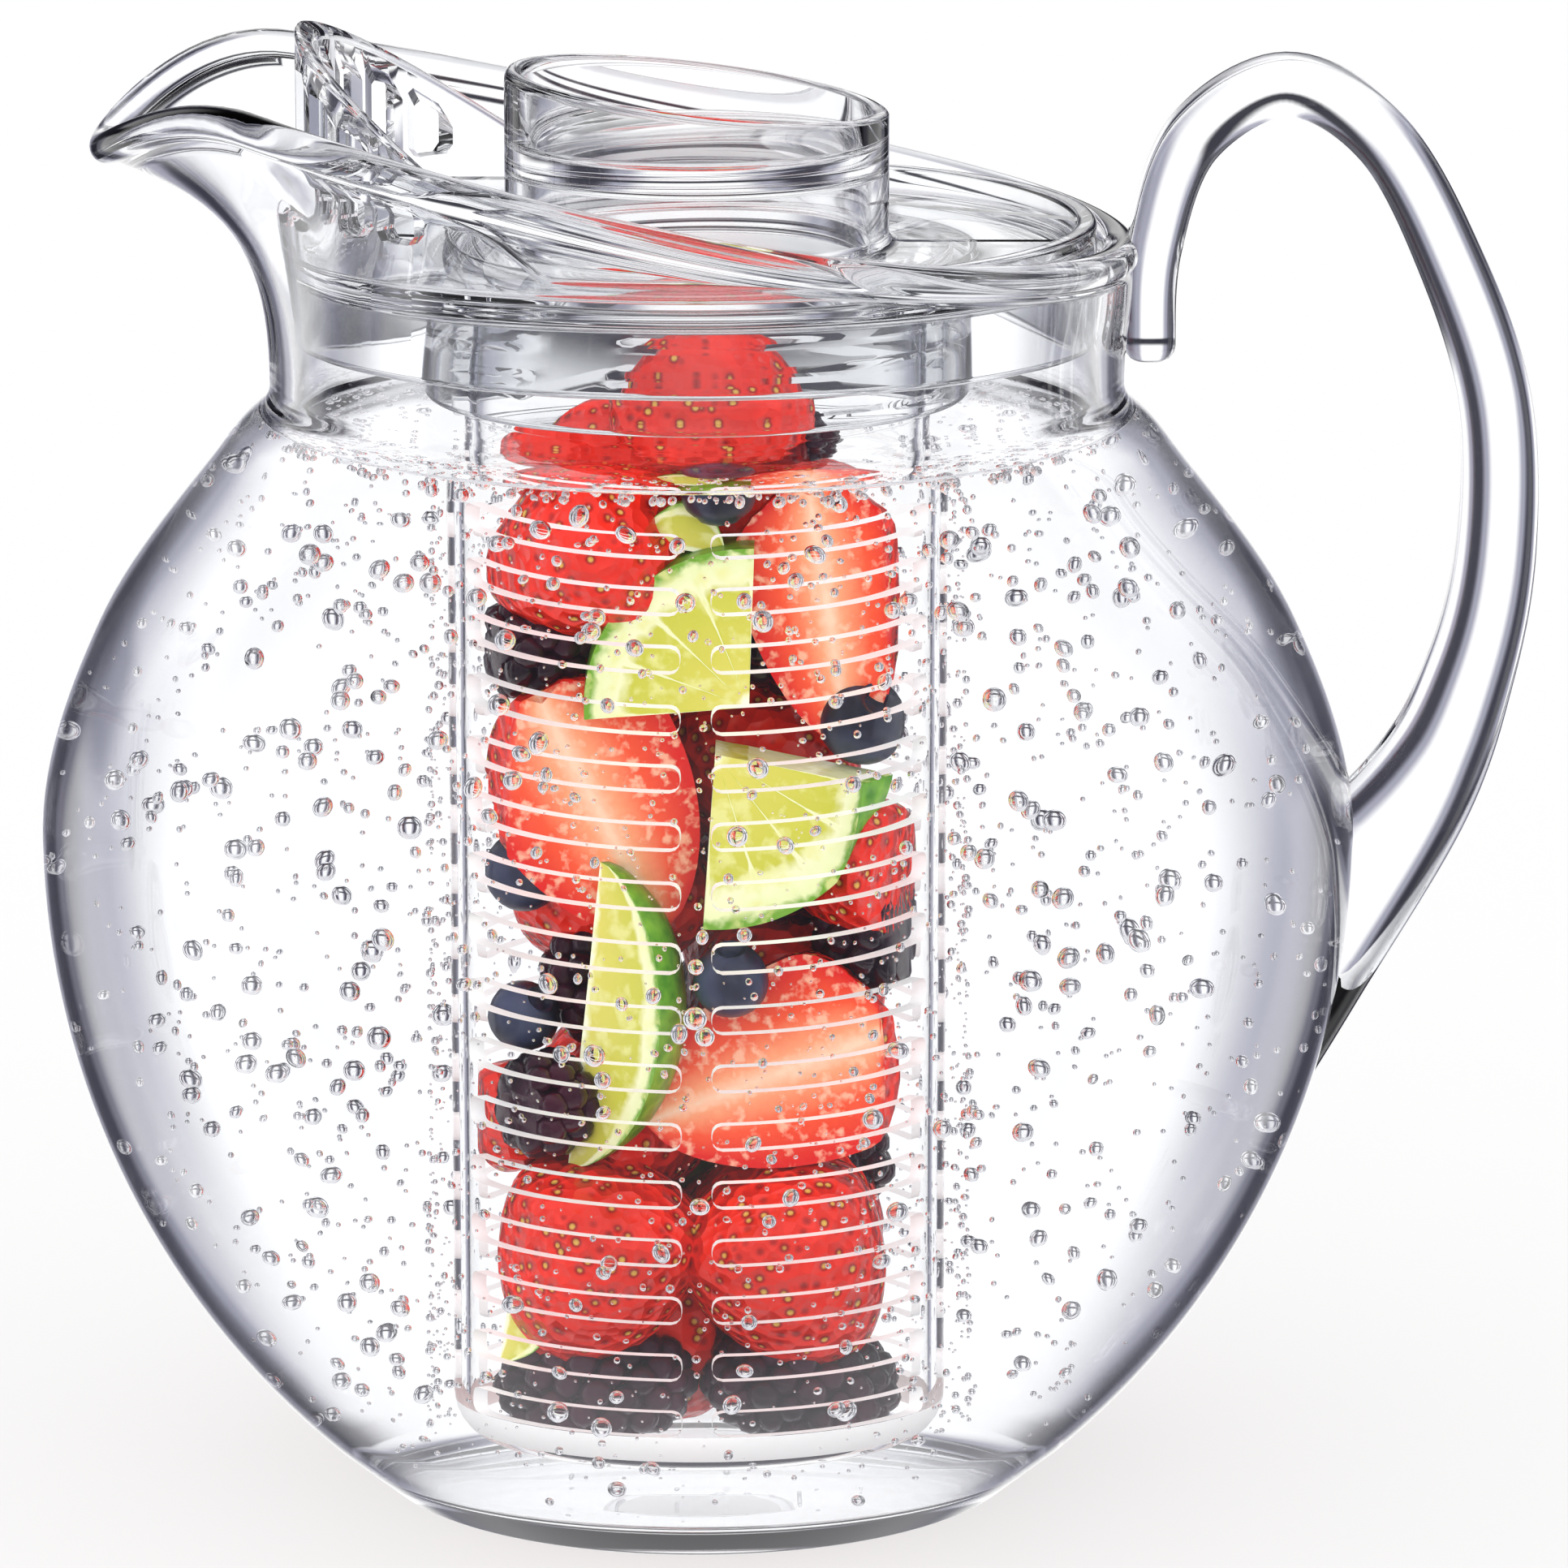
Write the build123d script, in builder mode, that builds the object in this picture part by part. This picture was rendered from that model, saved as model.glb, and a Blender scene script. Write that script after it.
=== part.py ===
"""Fruit infuser pitcher: a clear moulded jug with a drop-in strainer lid and a screw-in slotted infuser.

Millimetres, +Z up. The origin is on the bowl's axis at the underside of the base.
The spout points along -X and the handle stands at +X.
"""
from build123d import *
import math
import os

# Jug bowl, turned about the Z axis
wall = 3.6                # jug wall
bowl_r = 95.2             # outer radius at the widest level
bowl_z = 97.0             # height of the widest level
belly_arc_r = 120.0       # outer arc from the widest level down to the base
base_thick = 6.5          # thick moulded base
base_edge_r = 3.0         # rounding round the outer foot
base_inner_r = 6.0        # rounding round the inner floor
neck_r = 61.6             # outer radius of the neck
neck_z = 166.0            # where the round neck hands over to the spouted rim
shoulder_in = 8.8         # half way up the shoulder: this far inside the bowl's widest radius
shoulder_rise = 31.0      # and this far above its widest level
throat_out = 6.8          # where the shoulder turns up: this far outside the neck's radius
throat_drop = 12.4        # and this far below the top of the neck
neck_lap = 3.0            # the rim's wall runs this far down inside the neck's wall
neck_step = 0.15          # the neck's wall is this much thicker on each side there

# Rim and spout, one wall section carried round the neck
rim_draw = 0.7            # beside the handle the bead's middle lies this far inside the neck's radius
spout_throw = 21.0        # at the spout's tip it lies this far outside
rim_rise = 27.6           # top of the rim over the axis, above the neck
rim_slope = 0.197         # rise of the rim towards the spout
rim_bow = 0.00068         # extra rise at both ends, per mm
bead_r = 2.6              # rounded bead along the rim
lip_length = 22.6         # the lip droops over this length
lip_droop = 13.5          # drop at the tip
lean_length = 67.6        # the wall leans outwards over this length
lip_lean = 72.0           # lean at the tip, degrees from upright
lip_lean_power = 1.6
neck_hold = 0.5           # share of the rim's height over which its wall keeps the neck's direction
lip_hold = 0.45           # share of the wall's run over which it keeps the bead's direction
rim_sections = 24         # wall sections round the full turn

# Handle, a solid bar with a hooked top: centre line x, z and bar thickness at each station
handle_width = 15.0
bar_round = 0.42          # corner radius as a share of the bar's thickness
handle_stations = [
    (neck_r + 3.4, neck_z + 2.5, 7.4),
    (neck_r + 4.2, neck_z + 17.0, 7.6),
    (neck_r + 9.6, neck_z + 32.0, 8.0),
    (neck_r + 22.9, neck_z + 39.6, 8.2),
    (bowl_r + 3.0, neck_z + 32.0, 8.8),
    (bowl_r + 13.0, neck_z + 14.0, 9.6),
    (bowl_r + 19.6, neck_z - 6.0, 10.6),
    (bowl_r + 20.2, bowl_z + 41.0, 11.4),
    (bowl_r + 16.6, bowl_z + 22.5, 12.8),
    (bowl_r + 8.8, bowl_z + 4.5, 17.0),
    (bowl_r - 9.2, bowl_z - 19.0, 25.0),
    (bowl_r - 20.7, bowl_z - 34.5, 29.0),
]
foot_way = (-0.6, -0.8)   # direction in which the bar runs into the bowl
hook_rounding = [(0.5, 2.4), (0.84, 1.7)]   # rounds the free end: share of the section, step back
bond_gap = 0.05           # glue line

# Lid plate
lid_gap = 0.4             # the lid drops into the neck with this much room all round
lid_lift = 14.0           # underside of the lid's floor, above the neck
lid_floor = 3.0
lid_wall = 3.0
lid_skirt = 10.0          # plug wall below the floor
lid_kerb = 3.5            # low wall above the floor
rib_thick = 3.0
spout_rib_rise = 9.0      # radial rib towards the spout, above the floor
back_rib_rise = 5.5       # radial rib towards the handle

# Strainer fence, standing on the kerb around the spout side
fence_rise = 28.0         # height at the spout
fence_slope = 37.0        # slant of its top, degrees
fence_rail = 3.4          # rail left above the windows
fence_sill = 3.0          # rail left below the windows
window_pitch = 11.0       # degrees
window_turn = 8.0         # degrees
window_count = 9

# Turret with its finger cup, standing on the lid's floor
turret_r = 27.6
turret_wall = 2.6
turret_height = 22.0      # at its middle
turret_slope = 6.8        # degrees, rising towards the spout
cup_lift = 10.6           # underside of the cup's floor above the lid's floor
cup_floor = 3.0
turret_edge_r = 1.1

# Infuser tube
tube_seat = 0.3           # room between the tube's mouth and the lid
tube_low_r = 32.0         # outer radius at the bottom
tube_taper = 1.6          # wider by this below its neck
tube_neck_step = 1.3      # the threaded neck is wider again by this
tube_neck_drop = 20.0     # length of the neck
tube_wall = 2.0
tube_floor_gap = 6.3      # room between the tube and the jug's floor
tube_edge_r = 7.0
slot_low_rise = 7.8       # middle of the lowest row above the tube's bottom
slot_top_gap = 14.0       # rows stop this far below the neck
slot_pitch = 8.1
slot_height = 3.6
slot_end_r = 1.4
slot_near = 3.7           # degrees from the front or back rib to the slot
slot_far = 68.0           # degrees to the far end
slot_overcut = 3.0        # the cutters reach this far past the wall on both sides

# Infuser collar under the lid
thread_room = 1.7         # room for the thread between the tube's neck and the collar
collar_wall = 2.6
collar_drop = 18.5
collar_edge_r = 0.85

# Values that follow from those above
shoulder_r = bowl_r - shoulder_in
shoulder_z = bowl_z + shoulder_rise
throat_r = neck_r + throat_out
throat_z = neck_z - throat_drop
rim_r = neck_r - rim_draw
spout_reach = neck_r + spout_throw
rim_top = neck_z + rim_rise
lip_start = spout_reach - lip_length
lean_start = spout_reach - lean_length
bead_rise = bead_r + math.sqrt(bead_r ** 2 - (wall / 2) ** 2)
lid_r = neck_r - wall - neck_step - lid_gap
lid_floor_z = neck_z + lid_lift
lid_floor_top = lid_floor_z + lid_floor
kerb_top = lid_floor_top + lid_kerb
fence_top = kerb_top + fence_rise
turret_mid_top = lid_floor_top + turret_height
tube_top_r = tube_low_r + tube_taper
tube_neck_r = tube_top_r + tube_neck_step
tube_low_z = base_thick + tube_floor_gap
tube_top_z = lid_floor_z - tube_seat
tube_neck_z = tube_top_z - tube_neck_drop
slot_low_z = tube_low_z + slot_low_rise
slot_rows = int((tube_neck_z - slot_top_gap - slot_low_z) / slot_pitch) + 1
collar_r = tube_neck_r + thread_room + collar_wall
slant = math.tan(math.radians(fence_slope))


def bowl_outline(inset, floor_z, edge_r):
    """Half section of the bowl and neck, set in from the outer face by inset."""
    arc_x = bowl_r - belly_arc_r
    arc_r = belly_arc_r - inset
    base_r = arc_x + math.sqrt(arc_r ** 2 - (bowl_z - floor_z) ** 2)
    belly_turn = math.asin((bowl_z - floor_z) / arc_r) / 2
    belly_mid = (arc_x + arc_r * math.cos(belly_turn), bowl_z - arc_r * math.sin(belly_turn))
    shoulder_turn = math.atan2(bowl_r - throat_r, throat_z - bowl_z)
    throat_turn = math.atan2(shoulder_r - neck_r, neck_z - shoulder_z)
    shoulder = (shoulder_r - inset * math.cos(shoulder_turn), shoulder_z - inset * math.sin(shoulder_turn))
    throat = (throat_r - inset * math.cos(throat_turn), throat_z - inset * math.sin(throat_turn))
    neck = neck_r + neck_step - inset
    with BuildSketch(Plane.XZ) as outline:
        with BuildLine():
            Line((0, floor_z), (base_r, floor_z))
            ThreePointArc((base_r, floor_z), belly_mid, (bowl_r - inset, bowl_z))
            Spline(
                (bowl_r - inset, bowl_z), shoulder, throat, (neck, neck_z),
                tangents=((0, 1), (0, 1)),
            )
            Line((neck, neck_z), (0, neck_z))
            Line((0, neck_z), (0, floor_z))
        make_face()
        fillet(outline.vertices().sort_by_distance((base_r, floor_z))[0], edge_r)
    return outline.sketch


def rim_point(turn):
    """Radius, height and lean of the bead's root at a plan angle (0 is the handle side)."""
    if math.cos(turn) >= 0:
        reach = rim_r
    else:
        reach = spout_reach * rim_r / math.hypot(rim_r * math.cos(turn), spout_reach * math.sin(turn))
    along = reach * math.cos(turn)
    top = rim_top - rim_slope * along + rim_bow * along ** 2
    droop = max(0.0, (-along - lip_start) / lip_length) ** 2
    lean = max(0.0, (-along - lean_start) / lean_length) ** lip_lean_power
    return reach, top - bead_rise - lip_droop * droop, math.radians(90 - lip_lean * lean)


def rim_section(turn):
    """Wall section at a plan angle, from inside the neck's wall up to the round bead."""
    reach, height, lean = rim_point(turn)
    foot_z = neck_z - neck_lap
    middle = neck_r - wall / 2
    along = (math.cos(lean), math.sin(lean))
    rise = height - foot_z
    pull = lip_hold * math.hypot(rise, reach - middle)

    def side(half):
        foot = (middle + half, foot_z)
        root = (reach + half * along[1], height - half * along[0])
        lift = (middle + half, foot_z + neck_hold * rise)
        approach = (root[0] - pull * along[0], root[1] - pull * along[1])
        return [foot, lift, approach, root]

    outside = side(wall / 2)
    inside = side(-wall / 2)
    crest = (reach + bead_rise * along[0], height + bead_rise * along[1])
    plane = Plane(
        origin=(0, 0, 0),
        x_dir=(math.cos(turn), math.sin(turn), 0),
        z_dir=(math.sin(turn), -math.cos(turn), 0),
    )
    with BuildSketch(plane) as section:
        with BuildLine():
            Bezier(*outside)
            ThreePointArc(outside[-1], crest, inside[-1])
            Bezier(*reversed(inside))
            Line(inside[0], outside[0])
        make_face()
    return section.sketch.face()


# Jug body: bowl and neck turned, rim and spout lofted round through their wall sections
rim_faces = [rim_section(2 * math.pi * k / rim_sections) for k in range(rim_sections)]
with BuildPart() as rim_ring:
    loft(sections=rim_faces + rim_faces[:1])

with BuildPart() as jug:
    add(bowl_outline(0, 0, base_edge_r))
    revolve(axis=Axis.Z)
    add(bowl_outline(wall + 2 * neck_step, base_thick, base_inner_r))
    revolve(axis=Axis.Z, mode=Mode.SUBTRACT)
    add(rim_ring.part)

# Handle: rounded bar sections along a hooked centre line, trimmed to the jug it is bonded to
with BuildPart() as bowl_core:
    add(bowl_outline(-bond_gap, -bond_gap, base_edge_r))
    revolve(axis=Axis.Z)

with BuildLine(Plane.XZ) as handle_line:
    Spline(*[(x, z) for x, z, thick in handle_stations], tangents=((0, 1), foot_way))
handle_path = handle_line.edge()


def bar_section(x, z, thick, share=1.0, back=0.0):
    """Rounded bar section at a station; share shrinks it and back steps it back along the path."""
    here = Vector(x, 0, z)
    along = handle_path.tangent_at(handle_path.param_at_point(here))
    plane = Plane(origin=here - along * back, x_dir=along.cross(Vector(0, 1, 0)), z_dir=along)
    with BuildSketch(plane) as section:
        RectangleRounded(share * thick, share * handle_width, share * bar_round * min(thick, handle_width))
    return section.sketch.face()


hook_end = handle_stations[0]
with BuildPart() as handle:
    end_sections = [bar_section(*hook_end, share, back) for share, back in hook_rounding]
    loft(sections=end_sections + [bar_section(*station) for station in handle_stations])
    add(bowl_core.part, mode=Mode.SUBTRACT)
    add(rim_ring.part, mode=Mode.SUBTRACT)

# Lid plate: annular floor with a plug skirt below, a low kerb above and two radial ribs
with BuildPart() as plate:
    with BuildSketch(Plane.XY.offset(lid_floor_z)):
        Circle(lid_r)
        Circle(turret_r - turret_wall, mode=Mode.SUBTRACT)
    extrude(amount=lid_floor)
    with BuildSketch(Plane.XY.offset(lid_floor_z - lid_skirt)):
        Circle(lid_r)
        Circle(lid_r - lid_wall, mode=Mode.SUBTRACT)
    extrude(amount=lid_skirt + lid_floor + lid_kerb)
    with BuildSketch(Plane.XZ):
        with BuildLine():
            Polyline(
                (-lid_r + lid_wall / 2, lid_floor_top),
                (-lid_r + lid_wall / 2, kerb_top),
                (-lid_r + lid_wall + bond_gap, kerb_top),
                (-lid_r + lid_wall + bond_gap, lid_floor_top + spout_rib_rise),
                (-turret_r - bond_gap, lid_floor_top + spout_rib_rise),
                (-turret_r - bond_gap, lid_floor_top),
                close=True,
            )
        make_face()
        with BuildLine():
            Polyline(
                (lid_r - lid_wall / 2, lid_floor_top),
                (lid_r - lid_wall / 2, kerb_top),
                (turret_r + bond_gap, lid_floor_top + back_rib_rise),
                (turret_r + bond_gap, lid_floor_top),
                close=True,
            )
        make_face()
    extrude(amount=rib_thick / 2, both=True)

# Strainer fence: a slant-topped wall with tall windows
slant_plane = Plane(
    origin=(-lid_r, 0, fence_top),
    x_dir=(1, 0, -slant),
    z_dir=(slant, 0, 1),
)
with BuildPart() as windows:
    with BuildSketch(Plane.XY.offset(kerb_top + fence_sill)):
        window_span = window_pitch * (window_count - 1)
        window_width = 2 * (lid_r - lid_wall / 2) * math.tan(math.radians(window_turn / 2))
        with PolarLocations(
            lid_r - lid_wall / 2, window_count, 180 - window_span / 2, window_span, endpoint=True
        ):
            Rectangle(2 * lid_wall, window_width)
    extrude(amount=fence_top - kerb_top)
    split(bisect_by=slant_plane.offset(-fence_rail), keep=Keep.BOTTOM)

with BuildPart() as fence:
    with BuildSketch(Plane.XY.offset(kerb_top)):
        Circle(lid_r)
        Circle(lid_r - lid_wall, mode=Mode.SUBTRACT)
    extrude(amount=fence_top - kerb_top)
    split(bisect_by=slant_plane, keep=Keep.BOTTOM)
    add(windows.part, mode=Mode.SUBTRACT)

# Turret: a tube with a slanted top and a floor web that makes the finger cup
turret_tip = turret_r * math.tan(math.radians(turret_slope))
with BuildPart() as turret:
    with BuildSketch(Plane.XY.offset(lid_floor_top)):
        Circle(turret_r)
        Circle(turret_r - turret_wall, mode=Mode.SUBTRACT)
    extrude(amount=turret_height + turret_tip)
    with BuildSketch(Plane.XY.offset(lid_floor_top + cup_lift)):
        Circle(turret_r - turret_wall / 2)
    extrude(amount=cup_floor)
    top_plane = Plane.XY.offset(turret_mid_top).rotated((0, turret_slope, 0))
    split(bisect_by=top_plane, keep=Keep.BOTTOM)
    top_edges = turret.faces().sort_by(Axis.Z)[-1].edges()
    fillet(top_edges, turret_edge_r)

# Infuser collar: the socket under the lid that the infuser screws into
with BuildPart() as collar:
    with BuildSketch(Plane.XY.offset(lid_floor_z - collar_drop)):
        Circle(collar_r)
        Circle(collar_r - collar_wall, mode=Mode.SUBTRACT)
    extrude(amount=collar_drop)
    lower_edges = collar.edges().group_by(Axis.Z)[0]
    fillet(lower_edges, collar_edge_r)

# Infuser tube: tapered cup with a round bottom edge and rows of slots through its wall
with BuildPart() as slot_cutter:
    with BuildSketch(Plane.XY.offset(slot_low_z - slot_height / 2)):
        with BuildLine():
            far = math.radians(90 - slot_far)
            near = math.radians(90 - slot_near)
            cut_r = tube_top_r + slot_overcut
            Line((0, 0), (cut_r * math.cos(far), cut_r * math.sin(far)))
            ThreePointArc(
                (cut_r * math.cos(far), cut_r * math.sin(far)),
                (cut_r * math.cos((far + near) / 2), cut_r * math.sin((far + near) / 2)),
                (cut_r * math.cos(near), cut_r * math.sin(near)),
            )
            Line((cut_r * math.cos(near), cut_r * math.sin(near)), (0, 0))
        make_face()
        Circle(tube_low_r - tube_wall - slot_overcut, mode=Mode.SUBTRACT)
    extrude(amount=slot_height)
    radial = [e for e in slot_cutter.edges().filter_by(GeomType.LINE) if abs(e.tangent_at(0).Z) < 0.5]
    fillet(radial, slot_end_r)

with BuildPart() as tube:
    with BuildSketch(Plane.XZ) as tube_outline:
        with BuildLine():
            Polyline(
                (0, tube_low_z),
                (tube_low_r, tube_low_z),
                (tube_top_r, tube_neck_z),
                (tube_neck_r, tube_neck_z),
                (tube_neck_r, tube_top_z),
                (0, tube_top_z),
                close=True,
            )
        make_face()
        fillet(tube_outline.vertices().sort_by_distance((tube_low_r, tube_low_z))[0], tube_edge_r)
    revolve(axis=Axis.Z)
    with BuildSketch(Plane.XZ) as tube_hollow:
        with BuildLine():
            Polyline(
                (0, tube_low_z + tube_wall),
                (tube_low_r - tube_wall, tube_low_z + tube_wall),
                (tube_top_r - tube_wall, tube_top_z),
                (0, tube_top_z),
                close=True,
            )
        make_face()
        fillet(
            tube_hollow.vertices().sort_by_distance((tube_low_r - tube_wall, tube_low_z + tube_wall))[0],
            tube_edge_r - tube_wall,
        )
    revolve(axis=Axis.Z, mode=Mode.SUBTRACT)
    slots = [
        cutter.moved(Location((0, 0, row * slot_pitch), (0, 0, half_turn)))
        for cutter in (slot_cutter.part, slot_cutter.part.mirror(Plane.YZ))
        for half_turn in (0, 180)
        for row in range(slot_rows)
    ]
    add(slots, mode=Mode.SUBTRACT)

os.makedirs("parts", exist_ok=True)
pieces = {
    "jug_body": jug,
    "jug_handle": handle,
    "lid_plate": plate,
    "strainer_fence": fence,
    "lid_turret": turret,
    "infuser_collar": collar,
    "infuser_tube": tube,
}
for name, piece in pieces.items():
    piece.part.label = name
    export_step(piece.part, f"parts/{name}.step")
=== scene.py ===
import math
import random

import bmesh
import bpy
from mathutils import Matrix, Vector


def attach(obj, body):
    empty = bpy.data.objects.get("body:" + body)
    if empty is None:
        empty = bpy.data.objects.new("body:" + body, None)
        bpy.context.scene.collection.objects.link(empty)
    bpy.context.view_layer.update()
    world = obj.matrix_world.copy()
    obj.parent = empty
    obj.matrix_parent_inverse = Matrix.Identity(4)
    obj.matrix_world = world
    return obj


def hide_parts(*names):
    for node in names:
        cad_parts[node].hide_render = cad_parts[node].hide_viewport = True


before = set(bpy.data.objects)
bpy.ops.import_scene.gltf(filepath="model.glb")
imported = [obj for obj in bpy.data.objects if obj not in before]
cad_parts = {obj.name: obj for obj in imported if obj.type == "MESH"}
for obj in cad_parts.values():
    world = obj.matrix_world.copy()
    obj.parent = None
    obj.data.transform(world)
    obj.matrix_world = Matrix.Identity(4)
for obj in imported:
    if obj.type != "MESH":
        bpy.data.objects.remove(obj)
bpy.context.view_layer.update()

MM = 0.001                     # all sizes below are in millimetres, and meshes in metres
FULL_TURN = 2 * math.pi

# Jug sizes, the same as the solids
WALL = 3.6
BOWL_R, BOWL_Z = 95.2, 97.0
BELLY_ARC_R = 120.0
BASE_THICK = 6.5
BASE_EDGE_R, BASE_INNER_R = 3.0, 6.0
SHOULDER_R, SHOULDER_Z = 86.4, 128.0
THROAT_R, THROAT_Z = 68.4, 153.6
NECK_R, NECK_Z = 61.6, 163.0
RIM_R, SPOUT_REACH = 60.9, 82.6
RIM_TOP, RIM_SLOPE, RIM_BOW = 193.6, 0.197, 0.00068
BEAD_R = 2.6
BEAD_RISE = BEAD_R + math.sqrt(BEAD_R ** 2 - (WALL / 2) ** 2)
LIP_START, LIP_DROOP = 60.0, 13.5
LEAN_START, LEAN, LEAN_POWER = 15.0, 72.0, 1.6
NECK_HOLD, LIP_HOLD = 0.5, 0.45  # how long the wall keeps its direction at the neck and at the lip
JUG_SEGMENTS = 192

# Handle stations: centre line x, z and bar thickness
HANDLE_WIDTH = 15.0
BAR_ROUND = 0.42               # corner radius as a share of the bar's lesser side
HANDLE_STATIONS = [
    (65.0, 168.5, 7.4),
    (65.8, 183.0, 7.6),
    (71.2, 198.0, 8.0),
    (84.5, 205.6, 8.2),
    (98.2, 198.0, 8.8),
    (108.2, 180.0, 9.6),
    (114.8, 160.0, 10.6),
    (115.4, 138.0, 11.4),
    (111.8, 119.5, 12.8),
    (104.0, 101.5, 17.0),
    (86.0, 78.0, 25.0),
    (74.5, 62.5, 29.0),
]
HOOK_END = ((2.9, 0.3), (2.6, 0.55), (1.9, 0.8), (1.0, 0.94))  # reach past the hook, share of its section
FOOT_DIRECTION = (-0.6, -0.8)
FOOT_Z = 120.0                 # below this the bar runs into the bowl's wall

# Lid sizes
LID_R = 57.45
LID_FLOOR_Z, LID_FLOOR = 180.0, 3.0
LID_WALL = 3.0
LID_SKIRT, LID_KERB = 10.0, 3.5
LID_FLOOR_TOP = LID_FLOOR_Z + LID_FLOOR
KERB_TOP = LID_FLOOR_TOP + LID_KERB
RIB_THICK, SPOUT_RIB_RISE, BACK_RIB_RISE, BACK_RIB_DROP = 3.0, 9.0, 5.5, 0.5
FENCE_TOP, FENCE_SLOPE = 214.5, 37.0
FENCE_RAIL, FENCE_SILL = 3.4, 3.0
WINDOW_PITCH, WINDOW_TURN, WINDOW_COUNT, WINDOW_CORNER = 11.0, 8.0, 9, 1.2
TURRET_R, TURRET_WALL = 27.6, 2.6
TURRET_TOP, TURRET_SLOPE = 205.0, 6.8
CUP_FLOOR_Z, CUP_FLOOR = 193.6, 3.0
COLLAR_R, COLLAR_WALL, COLLAR_DROP = 39.2, 2.6, 18.5
COLLAR_EDGE_R, LID_EDGE_R, LID_CORNER_R, KERB_FOOT_R = 0.8, 0.9, 1.0, 1.2
TURRET_EDGE_R, TURRET_FOOT_R = 1.15, 1.6
LID_SEGMENTS = 180

# Infuser sizes
TUBE_TOP_Z, TUBE_NECK_Z = 179.7, 159.7
TUBE_NECK_R, TUBE_TOP_R, TUBE_LOW_R = 34.9, 33.6, 32.0
TUBE_WALL, TUBE_LOW_Z, TUBE_EDGE_R = 2.0, 12.8, 7.0
TUBE_STEP_R, TUBE_LIP_R = 0.5, 0.6
TUBE_SEGMENTS = 160
SLOT_ROWS, SLOT_LOW_Z, SLOT_PITCH, SLOT_HEIGHT = 16, 20.6, 8.1, 3.6
SLOT_END_R, SLOT_NEAR, SLOT_FAR, SLOT_BENDS = 1.4, 3.7, 68.0, 14
SLOT_REACH_IN, SLOT_REACH_OUT = 5.0, 3.0
THREAD_PITCH, THREAD_HEIGHT, THREAD_WIDTH, THREAD_START = 4.2, 1.1, 1.0, 4.0
THREAD_RUNS, THREAD_RUN_SHARE, THREAD_RUN_TAPER = 3, 0.82, 0.06
THREAD_MARGIN, THREAD_TAPER = 3.0, 1.5

# Drink, fizz and fruit
WATER_Z = 156.0                # level of the drink
WATER_LAP = 0.25               # the drink's skin lies this far inside the wall
WATER_EASE = 0.6               # the drink's skin leaves the wall this far below its level
MENISCUS = 1.5                 # the drink climbs this far up the wall
MENISCUS_STEPS = ((0.0, 1.0), (0.35, 0.72), (0.9, 0.42), (1.7, 0.18), (2.8, 0.05), (4.2, 0.0))
WATER_SEGMENTS = 128
FRUIT_REACH = 29.2             # fruit is pressed against the tube's wall here
FRUIT_LOW, FRUIT_HIGH = 15.2, 176.0
POLE_R = 0.02                  # radius left open at a fruit's poles
PITH = 0.86                    # share of the way from a lime's core to its rind where its pith lies
SLICE_THICK = 9.0
DRUPELET_R, DRUPELET_SPREAD, DRUPELET_SINK = 2.1, 0.35, 1.6
BUBBLE_COUNT, BUBBLE_LOW = 2000, 10.0
TUBE_BUBBLE_COUNT, TUBE_BUBBLE_RISE = 2400, 138
SURFACE_BUBBLE_COUNT = 900
COARSE_BEAD, FINE_BEAD = 2, 3  # subdivisions of round meshes
LARGE_BUBBLE = 0.8             # from this radius a bubble gets the finer mesh

# Refraction: the photograph shows the tube in the drink at its own width and with faint edges
PLASTIC_IOR, WATER_IOR, TUBE_IOR, FIZZ_IOR = 1.49, 1.1, 1.035, 0.76

# Studio: what the clear pieces mirror and bend
STUDIO_WINDOWS = 8
STUDIO_WHITE = (1.2, 1.2, 1.2)
GAP_GREY, GAP_CORE = (0.40, 0.40, 0.49), (0.05, 0.05, 0.07)
STRIP_DARK = (0.04, 0.04, 0.055)
CEILING_DARK = (0.03, 0.03, 0.035)
TABLE_WHITE = (0.92, 0.92, 0.95)
ROOM_GREY, ROOM_SHARE = (0.14, 0.14, 0.16), 0.85
KEY_LIGHT, KEY_FROM = 1.42, (-0.20, -0.60, 0.60)
FLOOR_REACH, FLOOR_DROP, FLOOR_GREY = 4000.0, 0.2, (0.59, 0.59, 0.59)

CAMERA_DISTANCE = 1400.0
CAMERA_RISE = 12.5             # degrees
CAMERA_AIM = Vector((12.5, 0, 103.0))
FRAME_WIDTH = 228.0            # width of the picture at the jug's axis


# Mesh helpers

def new_object(name, verts, faces, smooth_angle=35.0):
    """Mesh object from points in millimetres, smooth except at edges sharper than the angle."""
    mesh = bpy.data.meshes.new(name)
    mesh.from_pydata([(x * MM, y * MM, z * MM) for x, y, z in verts], [], faces)
    mesh.validate()
    obj = bpy.data.objects.new(name, mesh)
    bpy.context.scene.collection.objects.link(obj)
    tidy_normals(obj, smooth_angle)
    return obj


def tidy_normals(obj, smooth_angle):
    """Turns all faces outwards and shades them smooth up to the angle."""
    bm = bmesh.new()
    bm.from_mesh(obj.data)
    bmesh.ops.recalc_face_normals(bm, faces=bm.faces)
    bm.to_mesh(obj.data)
    bm.free()
    for polygon in obj.data.polygons:
        polygon.use_smooth = True
    obj.data.set_sharp_from_angle(angle=math.radians(smooth_angle))


def carve(obj, tool, operation):
    """Joins or cuts obj with a tool mesh, and removes the tool."""
    cut = obj.modifiers.new(operation, "BOOLEAN")
    cut.operation = operation
    cut.object = tool
    cut.solver = "EXACT"
    depsgraph = bpy.context.evaluated_depsgraph_get()
    mesh = bpy.data.meshes.new_from_object(obj.evaluated_get(depsgraph))
    obj.modifiers.clear()
    old = obj.data
    obj.data = mesh
    bpy.data.meshes.remove(old)
    bpy.data.objects.remove(tool)


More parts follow.
